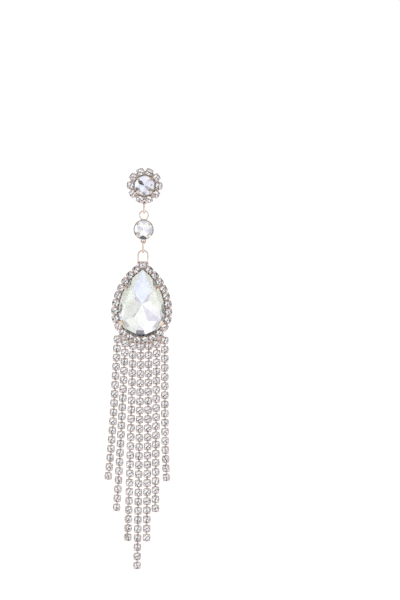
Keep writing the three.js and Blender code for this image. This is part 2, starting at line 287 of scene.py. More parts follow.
def setMaterials(piece, *materials):
    piece.data.materials.clear()
    for material in materials:
        piece.data.materials.append(material)
    return piece


# brass, cast or drawn, then plated with rose gold: a thin polished pink-gold skin, paler where it is worn,
# with fine polishing scratches
rosePlating = {"worn": "F0E2D6", "deep": "D6BFAD", "roughness": (0.14, 0.28), "cloudMm": 1.6,
               "scratchMm": 0.12, "bump": 0.08}
# stamped brass cups with a thin bright flash of nickel and gold: grey-silver, darker where polish stays
cupPlating = {"worn": "F0E5E1", "deep": "B8A8A1", "roughness": (0.18, 0.34), "cloudMm": 0.35,
              "scratchMm": 0.1, "bump": 0.12}
# the stamped sheet behind the cups, like the claws, would be rose gold; its grey plating here is painted
# shade, for the shade that falls between the cups and the stones. It is paler than the cups, with broad warm
# patches
shadedSheetPlating = {"worn": "E6DEDA", "deep": "CFC5BE", "roughness": (0.2, 0.36), "cloudMm": 1.2,
                "scratchMm": 0.1, "bump": 0.1}
# what all three share: how sharply the clouds part, how long the scratches run, and how deep
skin = {"tone": (0.38, 0.62), "gloss": (0.3, 0.7), "stretch": (1, 1, 0.12), "reliefMm": 0.02}


def makePlating(name, look):
    material, tree = newMaterial(name)
    place = addNode(tree, "ShaderNodeTexCoord").outputs["Object"]
    cloud = addNode(tree, "ShaderNodeTexNoise", {"Scale": 1 / (look["cloudMm"] * mm), "Detail": 3.0},
                    {"Vector": place})
    wear = addNode(tree, "ShaderNodeMapRange", {"From Min": skin["tone"][0], "From Max": skin["tone"][1]},
                   {"Value": cloud.outputs["Fac"]})
    tone = addNode(tree, "ShaderNodeMix",
                   {"data_type": "RGBA", mixFrom: colour(look["deep"]), mixTo: colour(look["worn"])},
                   {mixShare: wear.outputs["Result"]})
    gloss = addNode(tree, "ShaderNodeMapRange",
                    {"From Min": skin["gloss"][0], "From Max": skin["gloss"][1],
                     "To Min": look["roughness"][0], "To Max": look["roughness"][1]},
                    {"Value": cloud.outputs["Fac"]})
    stretch = addNode(tree, "ShaderNodeMapping", {"Scale": skin["stretch"]}, {"Vector": place})
    scratch = addNode(tree, "ShaderNodeTexNoise", {"Scale": 1 / (look["scratchMm"] * mm), "Detail": 2.0},
                      {"Vector": stretch.outputs["Vector"]})
    relief = addNode(tree, "ShaderNodeBump", {"Strength": look["bump"], "Distance": skin["reliefMm"] * mm},
                     {"Height": scratch.outputs["Fac"]})
    shader = addNode(tree, "ShaderNodeBsdfPrincipled", {"Metallic": 1.0},
                     {"Base Color": tone.outputs[mixResult], "Roughness": gloss.outputs["Result"],
                      "Normal": relief.outputs["Normal"]})
    finishMaterial(tree, shader)
    return material


# lead-free crystal glass, machine cut and flame polished: clear and glossy, with a faint ripple on its
# facets. Its index is below real crystal's, because a higher one traps the light in shallow silvered stones
crystal = {"glass": "FCFDFF", "ior": 1.34, "rippleMm": 0.8, "bump": 0.03, "reliefMm": 0.02}


def makeCrystal():
    material, tree = newMaterial("cutCrystalGlass")
    place = addNode(tree, "ShaderNodeTexCoord").outputs["Object"]
    ripple = addNode(tree, "ShaderNodeTexNoise", {"Scale": 1 / (crystal["rippleMm"] * mm), "Detail": 1.0},
                     {"Vector": place})
    relief = addNode(tree, "ShaderNodeBump",
                     {"Strength": crystal["bump"], "Distance": crystal["reliefMm"] * mm},
                     {"Height": ripple.outputs["Fac"]})
    shader = addNode(tree, "ShaderNodeBsdfPrincipled",
                     {"Base Color": colour(crystal["glass"]), "Transmission Weight": 1.0, "Roughness": 0.0,
                      "IOR": crystal["ior"]},
                     {"Normal": relief.outputs["Normal"]})
    finishMaterial(tree, shader)
    return material


# silvered backing of the cut stones: a soft mirror, a little cloudy, whose tint differs from facet to facet
# as painted reflection: the blue, lilac, green and grey tints stand in for what each facet reflects
foilLook = {"roughness": 0.12, "cloudMm": 1.1, "tone": (0.35, 0.65)}


def makeFoil(name, bright, shade, roughness=foilLook["roughness"]):
    material, tree = newMaterial(name)
    place = addNode(tree, "ShaderNodeTexCoord").outputs["Object"]
    cloud = addNode(tree, "ShaderNodeTexNoise", {"Scale": 1 / (foilLook["cloudMm"] * mm), "Detail": 2.0},
                    {"Vector": place})
    haze = addNode(tree, "ShaderNodeMapRange",
                   {"From Min": foilLook["tone"][0], "From Max": foilLook["tone"][1]},
                   {"Value": cloud.outputs["Fac"]})
    tone = addNode(tree, "ShaderNodeMix",
                   {"data_type": "RGBA", mixFrom: colour(shade), mixTo: colour(bright)},
                   {mixShare: haze.outputs["Result"]})
    shader = addNode(tree, "ShaderNodeBsdfPrincipled", {"Metallic": 1.0, "Roughness": roughness},
                     {"Base Color": tone.outputs[mixResult]})
    finishMaterial(tree, shader)
    return material


roseGold = makePlating("roseGoldPlatedBrass", rosePlating)
cupMetal = makePlating("flashedBrassCups", cupPlating)
shadedSheetMetal = makePlating("sheetGreyedAsShade", shadedSheetPlating)
glass = makeCrystal()
foilsAndPaintedReflections = {
    "silver": makeFoil("silverFoil", "FCFBFB", "EFEDEE"),
    "pearl": makeFoil("pearlFoil", "F4F5F1", "E6E8E3"),
    "ice": makeFoil("iceBluePaintedReflection", "F0F4FF", "E4E9F8"),
    "lilac": makeFoil("lilacPaintedReflection", "DEDBE3", "CFCBD6"),
    "straw": makeFoil("paleGreenPaintedReflection", "F3F5EE", "E2E5D8"),
    "greyReflection": makeFoil("greyPaintedReflection", "B9B5B7", "959194"),
    # the darkest tint is painted shade, for the dark middle of the small stones and one back facet of the
    # stud's stone
    "culet": makeFoil("culetPaintedShade", "6E6A6C", "4A4648"),
    # the lacquer over the silver is beige and duller
    "back": makeFoil("lacqueredBack", "D8CFC8", "BEB2A8", roughness=0.3),
}
print("materials ready")

# places shared with the solids, in millimetres from the earlobe's hole
studPlace = {"depth": 0, "height": 0}
connectorPlace = {"depth": 0.89, "height": -12.4}
dropPlace = {"depth": 1.02, "height": -36.0}
hangDepth = -0.8  # of both links


# each facet is a plane at an azimuth and slope through a point: what lies outside is cut off. Facets with a
# tint are at the back, where the foil is, and the others are clear glass
def cutFacets(stone, facets):
    normals = []
    startEditing(stone)
    for azimuth, slope, point, tint in facets:
        level = math.cos(math.radians(slope)) * (-1 if tint else 1)
        normal = Vector((*around(azimuth, math.sin(math.radians(slope))), level))
        normals.append(normal)
        bpy.ops.mesh.select_all(action="SELECT")
        bpy.ops.mesh.bisect(plane_co=metres(point), plane_no=normal, use_fill=True, clear_outer=True,
                            threshold=cutReach)
    finishEditing(stone)
    tints = list(dict.fromkeys(tint for *_, tint in facets if tint))
    setMaterials(stone, glass, *[foilsAndPaintedReflections[tint] for tint in tints])
    for face in stone.data.polygons:
        *_, tint = facets[max(range(len(facets)), key=lambda i: normals[i].dot(face.normal))]
        face.material_index = 1 + tints.index(tint) if tint and face.normal.z < backLean else 0
    return stone


# a small cup: "corners" holds how near to a corner a vertex is widened, in degrees, and by how much
cupForm = {"profile": [(0.95, 0), (1.09, 0.9), (1.09, 1.07), (0.95, 1.21)], "wall": 0.06, "cavity": 0.66,
           "sides": 16, "corners": ((15, 1.18), (30, 1.05)), "prongRise": 0.16, "prongBend": 0.26,
           "prongLift": 0.08}
# a prong grows where a face looks up, is at the top and lies at a corner
prongTests = {"up": 0.9, "top": 0.95, "corner": 0.97}
gemForm = {"radius": 0.96, "girdle": 1.2, "crownBase": 1.28, "top": 1.66, "table": 0.45, "culet": 1.0,
           "tip": 0.04, "sides": 16, "spread": 50}
# the back facets of the small stones take these tints in turn: painted reflections, with grey ones between
gemTints = ["silver", "greyReflection", "silver", "straw", "silver", "greyReflection", "silver", "lilac"]
barForm = {"width": 0.5, "thickness": 0.3, "depth": 0.12, "bite": 0.3, "bevel": 0.06, "longShare": 0.9}
barLift = barForm["depth"] + barForm["thickness"] / 2  # of a bar's middle above the backs of the cups


def nearCorner(spot, reach):
    return abs(math.degrees(math.atan2(spot.y, spot.x)) % 90 - 45) < reach


def makeCup():
    form = cupForm
    bpy.ops.mesh.primitive_circle_add(vertices=form["sides"], radius=form["profile"][0][0] * mm,
                                      fill_type="NGON")
    piece = newest("cup")
    startEditing(piece)
    growProfile(form["profile"])
    bpy.ops.mesh.inset(thickness=form["wall"] * mm)
    extrude((0, 0, -form["cavity"]))
    height = form["profile"][-1][1]
    for azimuth in squareAzimuths:  # one prong at each corner
        way = Vector(around(azimuth))
        pick(piece, "faces", lambda face: face.normal.z > prongTests["up"]
             and face.calc_center_median().z > prongTests["top"] * height * mm
             and face.calc_center_median().xy.normalized().dot(way) > prongTests["corner"])
        extrude((0, 0, form["prongRise"]))
        extrude((*(-way * form["prongBend"]), form["prongLift"]))
    # the corners stand out, which makes the cup a rounded square
    bpy.ops.mesh.select_mode(type="VERT")
    for reach, share in form["corners"]:
        pick(piece, "verts", lambda vertex: nearCorner(vertex.co, reach))
        widen(share)
    bpy.ops.mesh.select_mode(type="FACE")
    return finishEditing(piece)


def makeGem():
    form = gemForm
    piece = cylinderPiece("gem", form["radius"], form["culet"], form["top"], form["sides"])
    crown = math.degrees(math.atan((form["top"] - form["crownBase"]) / (form["radius"] - form["table"])))
    back = math.degrees(math.atan((form["girdle"] - form["culet"]) / form["radius"]))
    turn = 360 / len(gemTints)
    facets = []
    for i, tint in enumerate(gemTints):
        facets.append((turn * i, crown, (*around(turn * i, form["radius"]), form["crownBase"]), None))
        facets.append((turn * (i + 0.5), back, (0, 0, form["culet"]), tint))
    # the flat culet takes the darkest tint, painted shade in the middle of the stone
    facets.append((0, 0, (0, 0, form["culet"] + form["tip"]), "culet"))
    return cutFacets(piece, facets)


def makeBar(length):
    form = barForm
    bpy.ops.mesh.primitive_cube_add(size=1, scale=metres((form["width"], length, form["thickness"])))
    bar = newest("bar")
    startEditing(bar, "EDGE", "DESELECT")
    longEdge = form["longShare"] * length * mm
    pick(bar, "edges", lambda edge: abs(edge.verts[0].co.y - edge.verts[1].co.y) > longEdge)
    bpy.ops.mesh.bevel(offset=form["bevel"] * mm, segments=1)
    return finishEditing(bar)


def turnedBy(degrees, axis):
    return Matrix.Rotation(math.radians(degrees), 4, axis)


def cupPlaces(places, back, spot):
    return [stood(spot, Matrix.Translation(metres((place["x"], place["y"], back + barLift)))
                  @ turnedBy(place["tilt"], "Z") @ turnedBy(place["twist"], "Y")
                  @ Matrix.Translation((0, 0, -barLift * mm))) for place in places]


# a row of cups with their stones and the bars between them, which takes a solid's place
def makeRow(node, body, places, back, spot, closed):
    metal = [copiesAt(node + "Cups", cup, cupPlaces(places, back, spot))]
    for i in range(0 if closed else 1, len(places)):
        place, before = places[i], places[i - 1]
        along = Vector((before["x"] - place["x"], before["y"] - place["y"]))
        middle = ((before["x"] + place["x"]) / 2, (before["y"] + place["y"]) / 2, back + barLift)
        bar = makeBar(along.length - 2 * cupForm["profile"][0][0] + barForm["bite"])
        metal.append(movedBy(bar, stood(spot, Matrix.Translation(metres(middle))
                                        @ turnedBy(math.degrees(math.atan2(along.y, along.x)) - 90, "Z")
                                        @ turnedBy((before["twist"] + place["twist"]) / 2, "Y"))))
    cups = setMaterials(joined(node + "_cups", metal), cupMetal)
    turned = [matrix @ turnedBy(spread.uniform(-gemForm["spread"], gemForm["spread"]), "Z")
              for matrix in cupPlaces(places, back, spot)]
    stones = copiesAt(node + "_stones", gem, turned)
    for piece in (cups, stones):
        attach(piece, body)
        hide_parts(node)


cup = setMaterials(makeCup(), cupMetal)
gem = makeGem()
spread = random.Random(7)  # each small stone is set at its own turn
print("cup and stone modelled:", len(cup.data.polygons), "and", len(gem.data.polygons), "faces")

flower = {"radius": 3.98, "petals": 10, "back": 1.1}
petalPlaces = []
for i in range(flower["petals"]):
    azimuth = (i + 0.5) * 360 / flower["petals"] - 90
    x, y = around(azimuth, flower["radius"])
    petalPlaces.append({"x": x, "y": y, "tilt": azimuth, "twist": 0})
makeRow("petal_ring", "stud", petalPlaces, flower["back"], studPlace, True)
print("flower petals placed")

# the pear's outline: two side arcs that meet in a point, and a round end
pearForm = {"width": 13, "point": 12.2, "steps": 48, "fineSteps": 64}
pearRound = pearForm["width"] / 2
sideCentre = (pearForm["point"] ** 2 - pearRound ** 2) / pearForm["width"]
sideRadius = sideCentre + pearRound
haloForm = {"offset": 1.07, "cups": 25, "back": 0.45}


def pearTop(offset):
    return math.sqrt((sideRadius + offset) ** 2 - sideCentre ** 2)


# centre, radius, first and last angle of each arc
def pearArcs(offset):
    side = sideRadius + offset
    tip = math.acos(sideCentre / side)
    return [(-sideCentre, side, tip, 0), (0, pearRound + offset, 0, -math.pi),
            (sideCentre, side, math.pi, math.pi - tip)]


# the point at a share of the way round, from the top
def pearPoint(offset, share):
    arcs = pearArcs(offset)
    lengths = [radius * abs(end - start) for _, radius, start, end in arcs]
    run = share * sum(lengths)
    for (x, radius, start, end), length in zip(arcs, lengths):
        if run <= length:
            angle = start + (end - start) * run / length
            return x + radius * math.cos(angle), radius * math.sin(angle)
        run -= length
    return 0, pearTop(offset)


# the point of the outline that faces an azimuth
def edgeOfPear(azimuth):
    way = Vector(around(azimuth))
    if way.y <= 0:
        return way * pearRound
    if abs(way.x) * sideRadius < sideCentre:
        return Vector((0, pearForm["point"]))
    return Vector((math.copysign(sideRadius * abs(way.x) - sideCentre, way.x), sideRadius * way.y))


haloPoints = [pearPoint(haloForm["offset"], i / haloForm["cups"]) for i in range(haloForm["cups"])]
haloPlaces = []
for i, (x, y) in enumerate(haloPoints):
    before = haloPoints[i - 1]
    after = haloPoints[(i + 1) % haloForm["cups"]]
    tilt = math.degrees(math.atan2(before[1] - after[1], before[0] - after[0])) - 90
    haloPlaces.append({"x": x, "y": y, "tilt": tilt, "twist": 0})
makeRow("halo", "drop", haloPlaces, haloForm["back"], dropPlace, True)
print("halo placed")

# fringe: a row for each strand, with its lean and curl as shares of its length and its last twist in degrees
fringe = {"spacing": 2.23, "rowRadius": 12.7, "rowStep": 1.93, "pitch": 2.58, "back": 0.45}
strandForms = [
    {"cups": 16, "lean": -0.026, "curl": -0.014, "twist": -8},
    {"cups": 19, "lean": -0.021, "curl": -0.006, "twist": -6},
    {"cups": 22, "lean": -0.004, "curl": -0.004, "twist": 20},
    {"cups": 25, "lean": 0.007, "curl": 0, "twist": -5},
    {"cups": 22, "lean": 0.011, "curl": 0, "twist": 4},
    {"cups": 19, "lean": 0.014, "curl": 0, "twist": 6},
    {"cups": 16, "lean": 0.026, "curl": 0.014, "twist": -12},
]
outerStrand = (len(strandForms) - 1) / 2 * fringe["spacing"]
rowCentre = fringe["rowRadius"] - pearRound - haloForm["offset"] - fringe["rowStep"]
for i, form in enumerate(strandForms):
    x = i * fringe["spacing"] - outerStrand
    y = rowCentre - math.sqrt(fringe["rowRadius"] ** 2 - x ** 2)
    length = (form["cups"] - 1) * fringe["pitch"]
    places = []
    for j in range(form["cups"]):
        share = j / (form["cups"] - 1)
        places.append({
            "x": x + length * (form["lean"] * share + form["curl"] * share ** 4),
            "y": y - length * share,
            "tilt": math.degrees(math.atan(form["lean"] + 4 * form["curl"] * share ** 3)),
            "twist": form["twist"] * share ** 2,
        })
    makeRow("strand_%d" % (i + 1), "drop", places, fringe["back"], dropPlace, False)
    print("strand", i + 1, "placed")

discard(cup)
discard(gem)


def finishMetal(piece, node, body, angle=40):
    selectOnly(piece)
    bpy.ops.object.shade_smooth_by_angle(angle=math.radians(angle))
    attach(piece, body)
    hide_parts(node)


# a flat claw that leans out to the stone's edge, bends over it and lies on the crown
clawForm = {"bendSteps": 5, "rounding": 0.3, "roundSteps": 3}


def makeClaw(form, foot, azimuth):
    bpy.ops.mesh.primitive_plane_add(size=mm)
    claw = bpy.context.object
    claw.scale = (form["thickness"], form["width"], 1)
    claw.location = (form["start"][0] * mm, 0, form["start"][1] * mm)
    newest("claw")
    end = math.radians(form["over"])
    growLegs(claw, [
        ("go", (form["edge"] - form["start"][0], 0, form["lean"] - form["start"][1])),
        ("go", (0, 0, form["rise"] - form["lean"])),
        ("turn", (form["edge"] - form["bend"], 0, form["rise"]), (0, 1, 0), -form["over"],
         clawForm["bendSteps"]),
        ("go", (-form["tip"] * math.sin(end), 0, form["tip"] * math.cos(end))),
    ])
    bevelEdges(claw, form["thickness"] * clawForm["rounding"], clawForm["roundSteps"])
    movedBy(claw, Matrix.Translation(metres(foot)) @ turnedBy(azimuth, "Z"))
    return setMaterials(claw, roseGold)


def fourClaws(form):
    return [makeClaw(form["claw"], (*around(azimuth, form["stone"]), form["girdle"]), azimuth)
            for azimuth in squareAzimuths]


def ringPiece(name, radius, wire, y, height):
    return setMaterials(torusPiece(name, radius, wire, (0, y, height)), roseGold)


post = {
    "sides": 32,
    "profile": [  # radius and height: pad, pin, the groove that the earring back clicks into, and the tip
        (2.12, -0.5), (2.2, -0.44), (2.2, -0.06), (2.12, 0), (0.52, 0), (0.4, 0.14), (0.4, 8.6), (0.33, 8.75),
        (0.33, 9.05), (0.4, 9.2), (0.4, 10.4), (0.36, 10.7), (0.25, 10.92), (0.12, 11),
    ],
}
earPost = setMaterials(turnedPiece("earPost", post["profile"], post["sides"]), roseGold)
finishMetal(movedBy(earPost, turnedBy(-90, "X")), "ear_post", "stud", angle=30)

stud = {
    "rim": [(4.2, 0.55), (4.28, 0.62), (4.28, 0.98), (4.2, 1.05)], "rimSides": 64,
    "seat": [(1.5, 0.9), (1.5, 2.35), (1.6, 2.45), (1.7, 2.35), (1.7, 0.9)], "seatSides": 48,
    "stone": 2.7, "girdle": 3.418, "eye": 0.62, "eyeWire": 0.2, "eyeCentre": -4.46, "hang": 0.8,
    "holeSides": 28, "holeReach": 1,
    "claw": {"thickness": 0.34, "width": 0.85, "start": (-0.75, -2.4), "edge": 0.17, "lean": -0.4,
             "rise": 0.2, "bend": 0.42, "over": 60, "tip": 0.62},
}
plate = turnedPiece("plate", stud["rim"], stud["rimSides"])
# the plate has a hole behind the eye, where the link swings through
hole = cylinderPiece("hole", stud["eye"] - stud["eyeWire"], stud["hang"] - stud["holeReach"],
                     stud["hang"] + stud["holeReach"], stud["holeSides"])
combine(plate, movedBy(hole, Matrix.Translation((0, stud["eyeCentre"] * mm, 0))), "DIFFERENCE")
# the stud's plate takes the grey plating, painted shade behind the petals
studPieces = [
    setMaterials(plate, shadedSheetMetal),
    setMaterials(turnedPiece("seat", stud["seat"], stud["seatSides"]), roseGold),
    ringPiece("eye", stud["eye"], stud["eyeWire"], stud["eyeCentre"], stud["hang"]),
] + fourClaws(stud)
finishMetal(movedBy(joined("studSetting", studPieces), stood(studPlace)), "stud_setting", "stud")
print("stud metal modelled")

link = {"length": 3.6, "width": 2.0, "wire": 0.27, "upper": -6.09, "lower": -17.26}


def makeLink(name, node, height):
    radius = link["width"] / 2 - link["wire"]
    straight = link["length"] / 2 - link["wire"] - radius
    # half a step's turn puts no vertex on the line between the halves
    piece = torusPiece(name, radius, link["wire"], rotation=(0, 0, math.pi / ringSteps))
    startEditing(piece, "VERT", "DESELECT")
    for side in (1, -1):  # the two halves are moved apart
        pick(piece, "verts", lambda vertex: vertex.co.y * side > 0)
        bpy.ops.transform.translate(value=(0, side * straight * mm, 0))
    finishEditing(piece)
    setMaterials(movedBy(piece, stood({"depth": hangDepth, "height": height}, turnedBy(90, "Y"))), roseGold)
    finishMetal(piece, node, node, angle=60)


makeLink("upperLink", "upper_link", link["upper"])
makeLink("lowerLink", "lower_link", link["lower"])
print("links modelled")

connector = {
    "body": [(2.2, 0), (2.32, 0.05), (2.86, 0.95), (2.9, 1.1), (2.9, 2.42), (2.85, 2.5), (2.72, 2.5),
             (2.66, 2.42), (2.66, 2.2), (0.5, 0.4)], "bodySides": 64,
    "stone": 2.6, "girdle": 2.534, "ring": 1.25, "ringWire": 0.21, "ringCentre": 4.06, "eye": 0.62,
    "eyeWire": 0.2, "eyeCentre": -3.23, "hang": 1.69,
    "claw": {"thickness": 0.34, "width": 0.85, "start": (0.12, -0.9), "edge": 0.13, "lean": -0.3,
             "rise": 0.18, "bend": 0.4, "over": 60, "tip": 0.58},
}
# the connector's body takes the grey plating, painted shade round its stone
connectorPieces = [
    setMaterials(turnedPiece("body", connector["body"], connector["bodySides"]), shadedSheetMetal),
    ringPiece("ring", connector["ring"], connector["ringWire"], connector["ringCentre"], connector["hang"]),
    ringPiece("eye", connector["eye"], connector["eyeWire"], connector["eyeCentre"], connector["hang"]),
] + fourClaws(connector)
connectorSetting = movedBy(joined("connectorSetting", connectorPieces), stood(connectorPlace))
finishMetal(connectorSetting, "connector_setting", "connector")
print("connector metal modelled")

drop = {
    "plate": 0.4, "margin": 0.5, "window": -3.2, "bevel": 0.07, "girdle": 3.3, "arcSteps": 24,
    "seat": (-2.0, -2.4), "seatBase": 0.36, "seatTop": 1.9, "seatBevel": 0.05, "tabRise": 1.2, "tabDrop": 1.0,
    "bailHalf": 1.36, "bailWire": 0.21, "bailBase": 0.21, "bailRise": 4.27, "bailBend": 0.42, "bendSteps": 6,
    "bowSteps": 24, "hang": 1.82,
    "claw": {"thickness": 0.36, "width": 1.6, "start": (-1.1, -2.95), "edge": 0.18, "lean": -0.4,
             "rise": 0.35, "bend": 0.5, "over": 58, "tip": 0.85},
    "clawAzimuths": (30, 150, -27, 207),
}


def pearLoop(offset, steps=pearForm["steps"]):
    tip = math.degrees(math.acos(sideCentre / (sideRadius + offset)))
    piece = startPoint("pearLoop", pearRound + offset, 0)
    spinArc(0, 0, -180, steps)
    spinArc(sideCentre, 0, -tip, steps // 2)
    spinArc(-sideCentre, 0, -tip, steps // 2)
    return finishEditing(piece)


# an arc that reaches as far to each side of straight down
def arcLoop(radius, centre, reach):
    x, y = around(-90 - reach, radius)
    piece = startPoint("arcLoop", x, centre + y)
    spinArc(0, centre, 2 * reach, drop["arcSteps"])
    return finishEditing(piece)


haloTop = pearTop(haloForm["offset"])
tabHalf = drop["bailHalf"] + drop["bailWire"]
tabLow, tabHigh = haloTop - drop["tabDrop"], haloTop + drop["tabRise"]
bpy.ops.mesh.primitive_plane_add(size=mm)
tabLoop = bpy.context.object
tabLoop.scale = (2 * tabHalf, tabHigh - tabLow, 1)
tabLoop.location = (0, (tabLow + tabHigh) / 2 * mm, 0)
newest("tabLoop")
# the plate, the crescent that carries the strands and the bail's tab are one sheet
outerReach = math.degrees(math.asin(outerStrand / fringe["rowRadius"]) + drop["margin"] / fringe["rowRadius"])
halfCup = cupForm["profile"][1][0]
innerReach = math.degrees(math.asin((outerStrand - halfCup) / (pearRound + haloForm["offset"])))
sheet = cutSheet("plate", [pearLoop(haloForm["offset"] + drop["margin"]), pearLoop(drop["window"])],
                 drop["plate"])
crescentLoops = [arcLoop(fringe["rowRadius"] + drop["margin"], rowCentre, outerReach),
                 arcLoop(pearRound + haloForm["offset"], 0, innerReach)]
combine(sheet, cutSheet("crescent", crescentLoops, drop["plate"]), "UNION")
combine(sheet, cutSheet("tab", [tabLoop], drop["plate"]), "UNION")
bevelEdges(sheet, drop["bevel"])
seat = cutSheet("seat", [pearLoop(offset) for offset in drop["seat"]], drop["seatTop"] - drop["seatBase"],
                drop["seatBase"])
bevelEdges(seat, drop["seatBevel"])

half, bend = drop["bailHalf"], drop["bailBend"]
footHeight = tabHigh - 2 * drop["bailWire"]
shoulder = haloTop + drop["bailRise"] - half
leg = shoulder - footHeight - bend
rise = drop["hang"] - bend - drop["bailBase"]
bail = wirePiece("bail", (-half, footHeight, drop["bailBase"]), drop["bailWire"], [
    ("go", (0, 0, rise)),
    ("turn", (-half, footHeight + bend, drop["hang"] - bend), (1, 0, 0), -90, drop["bendSteps"]),
    ("go", (0, leg, 0)),
    ("turn", (0, shoulder, drop["hang"]), (0, 0, 1), -180, drop["bowSteps"]),
    ("go", (0, -leg, 0)),
    ("turn", (half, footHeight + bend, drop["hang"] - bend), (1, 0, 0), 90, drop["bendSteps"]),
    ("go", (0, 0, -rise)),
])
# the plate and the seat take the grey plating, painted shade behind the halo, the strands and the pear
dropPieces = [setMaterials(sheet, shadedSheetMetal), setMaterials(seat, shadedSheetMetal), setMaterials(bail, roseGold)]
for azimuth in drop["clawAzimuths"]:
    dropPieces.append(makeClaw(drop["claw"], (*edgeOfPear(azimuth), drop["girdle"]), azimuth))
finishMetal(movedBy(joined("pearSetting", dropPieces), stood(dropPlace)), "pear_setting", "drop")
print("drop metal modelled")


def finishStone(piece, node, body, place):
    movedBy(piece, stood(place))
    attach(piece, body)
    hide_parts(node)


# the lacquered backing has the stone's full depth, and its front is hollowed out by the glass
backingForm = {"gap": 0.02, "slack": 1.01, "inset": 0.01, "tip": 0.08, "sides": 16, "pearBase": 0.05}


def finishBacking(backing, stone, node, body, place):
    setMaterials(backing, foilsAndPaintedReflections["back"])
    slack = backingForm["slack"]
    lowered = Matrix.Translation((0, 0, -backingForm["gap"] * mm)) @ Matrix.Diagonal((slack, slack, 1, 1))
    combine(backing, copiesAt("cutter", stone, [lowered]), "DIFFERENCE")
    finishStone(backing, node, body, place)


# the small facets at the table are flatter than the crown, and those at the edge are steeper
roundForm = {"sides": 64, "facets": 8, "starFlatter": 13, "starReach": 1.1, "edgeSteeper": 3}


def roundStone(name, form):
    piece = cylinderPiece(name, form["radius"], form["culet"], form["top"], roundForm["sides"])
    radius, top, crownBase = form["radius"], form["top"], form["crownBase"]
    crown = math.degrees(math.atan((top - crownBase) / (radius * (1 - form["table"]))))
    step = 360 / roundForm["facets"]
    facets = []
    for i in range(roundForm["facets"]):
        main, star, back = step * i, step * (i + 0.5), step * i + form["backTurn"]
        for azimuth, slope, reach, height, tint in (
                (main, crown, radius, crownBase, None),
                (star, crown - roundForm["starFlatter"], radius * form["table"] * roundForm["starReach"], top,
                 None),
                (main + step / 4, crown + roundForm["edgeSteeper"], radius, crownBase, None),
                (main - step / 4, crown + roundForm["edgeSteeper"], radius, crownBase, None),
                (back, form["backSlope"], 0, form["culet"], form["tints"][i]),
                (back + step / 2, form["rimSlope"], radius, form["girdle"], form["rimTints"][i % 2])):
            facets.append((azimuth, slope, (*around(azimuth, reach), height), tint))
    return cutFacets(piece, facets)


# the tints of the back facets are painted reflections, and the culet tint among the stud's is painted shade
studStone = {"radius": 2.7, "girdle": 3.42, "crownBase": 3.68, "top": 4.5, "table": 0.64, "culet": 3.0,
             "low": 1.2, "backTurn": 8, "backSlope": 7, "rimSlope": 12, "rimTints": ("ice", "silver"),
             "tints": ["ice", "lilac", "ice", "culet", "ice", "ice", "lilac", "greyReflection"]}
connectorStone = {"radius": 2.6, "girdle": 2.54, "crownBase": 2.8, "top": 3.57, "table": 0.64, "culet": 2.13,
                  "low": 0.4, "backTurn": 20, "backSlope": 7, "rimSlope": 12, "rimTints": ("silver", "lilac"),
                  "tints": ["silver", "pearl", "silver", "lilac", "silver", "pearl", "silver", "lilac"]}
for name, form, node, body, place in (
        ("studStone", studStone, "stud_stone", "stud", studPlace),
        ("connectorStone", connectorStone, "connector_stone", "connector", connectorPlace)):
    stone = roundStone(name, form)
    inset = backingForm["inset"]
    cone = [(backingForm["tip"], form["low"]), (form["radius"] - inset, form["girdle"] - inset)]
    backing = turnedPiece(name + "Backing", cone, backingForm["sides"])
    finishBacking(backing, stone, node, body, place)
    finishStone(stone, node, body, place)

# facets are written as azimuth, slope and tint. Those in the middle pass through the culet, those at the side
# through the girdle's edge, and the foot's and the shoulders' through a point of their own
# the tints of the pear's back facets are painted reflections: each facet is given the pale tint of light it
# is to show
pearStone = {
    "base": 1.6, "girdle": 3.3, "crownBase": 3.75, "top": 5.1, "table": 0.6, "lowTable": 0.74,
    "culet": (0, 2.6, 2.33), "low": 0.2, "rimSteeper": 2,
    "crown": [90, 50, 130, 22, 158, -6, 186, -36, 216, -66, 246, -90],
    "rim": [36, 144, 8, 172, -21, 201, -51, 231, -78, 258],
    "middle": [(90, 6, "ice"), (30, 5.5, "lilac"), (150, 5.5, "lilac"), (-14, 7, "silver"),
               (194, 7, "pearl"), (-46, 6.4, "lilac"), (226, 5.2, "ice"), (-74, 5.9, "pearl"),
               (-104, 5.2, "pearl")],
    "foot": [(-90, 8.5, (0, -3.4, 2.9), "lilac"), (-58, 8.5, (1.9, -2.7, 2.93), "silver"),
             (240, 8.5, (-2.4, -2.9, 2.95), "pearl")],
    "shoulders": [(60, 9.3, (2.5, 6.8, 2.78), "straw"), (120, 9.3, (-2.5, 6.8, 2.78), "straw")],
    "side": [(14, 11, "straw"), (166, 11, "straw"), (-24, 13, "silver"), (204, 13, "ice"), (-46, 12, "lilac"),
             (226, 12, "silver"), (-68, 13, "silver"), (248, 12, "lilac"), (-90, 12, "silver")],
}


# the slope of a facet that rises from the edge to the table, or to the middle when there is no table
def pearSlope(azimuth, rise, table=0):
    run = edgeOfPear(azimuth).dot(Vector(around(azimuth))) * (1 - table)
    return math.degrees(math.atan(rise / run))


def pearFacets(form):
    facets = []
    for azimuths, steeper in ((form["crown"], 0), (form["rim"], form["rimSteeper"])):
        for azimuth in azimuths:
            table = form["table" if around(azimuth)[1] > 0 else "lowTable"]
            slope = pearSlope(azimuth, form["top"] - form["crownBase"], table) + steeper
            facets.append((azimuth, slope, (*edgeOfPear(azimuth), form["crownBase"]), None))
    facets += [(azimuth, slope, form["culet"], tint) for azimuth, slope, tint in form["middle"]]
    facets += form["shoulders"] + form["foot"]
    facets += [(azimuth, slope, (*edgeOfPear(azimuth), form["girdle"]), tint)
               for azimuth, slope, tint in form["side"]]
    return facets


